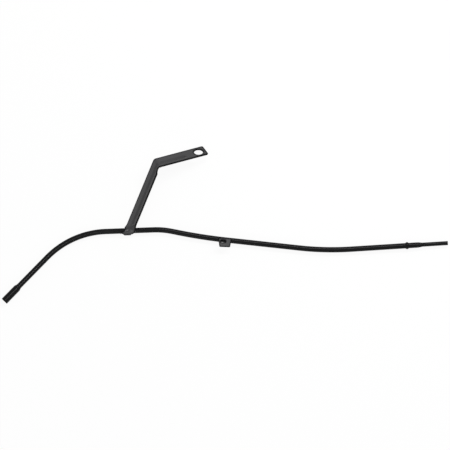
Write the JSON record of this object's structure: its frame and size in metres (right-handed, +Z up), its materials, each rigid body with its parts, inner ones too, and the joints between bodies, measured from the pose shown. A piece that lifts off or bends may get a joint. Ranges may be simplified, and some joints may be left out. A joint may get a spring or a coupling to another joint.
{
  "type": "oil dipstick tube",
  "caption": "Bent steel oil dipstick tube with a flared mouth, beaded tip, long folded support bracket and small welded tab.",
  "frame": {"origin": "middle of the bounding box seen from above, at the level of the floor the part lies on", "axes": "+X along the longest extent from the mouth end to the tip end, +Z up from the floor, +Y towards the side the long bracket stands out on"},
  "size_m": [0.7808, 0.2758, 0.0501],
  "materials": {
    "tube_paint": "semi-gloss black paint over steel",
    "bracket_paint": "satin black paint over stamped steel",
    "tab_paint": "satin black paint over stamped steel"
  },
  "bodies": {
    "root": {"dipstick_tube": "tube_paint", "long_bracket": "bracket_paint", "small_tab": "tab_paint"}
  },
  "joints": []
}
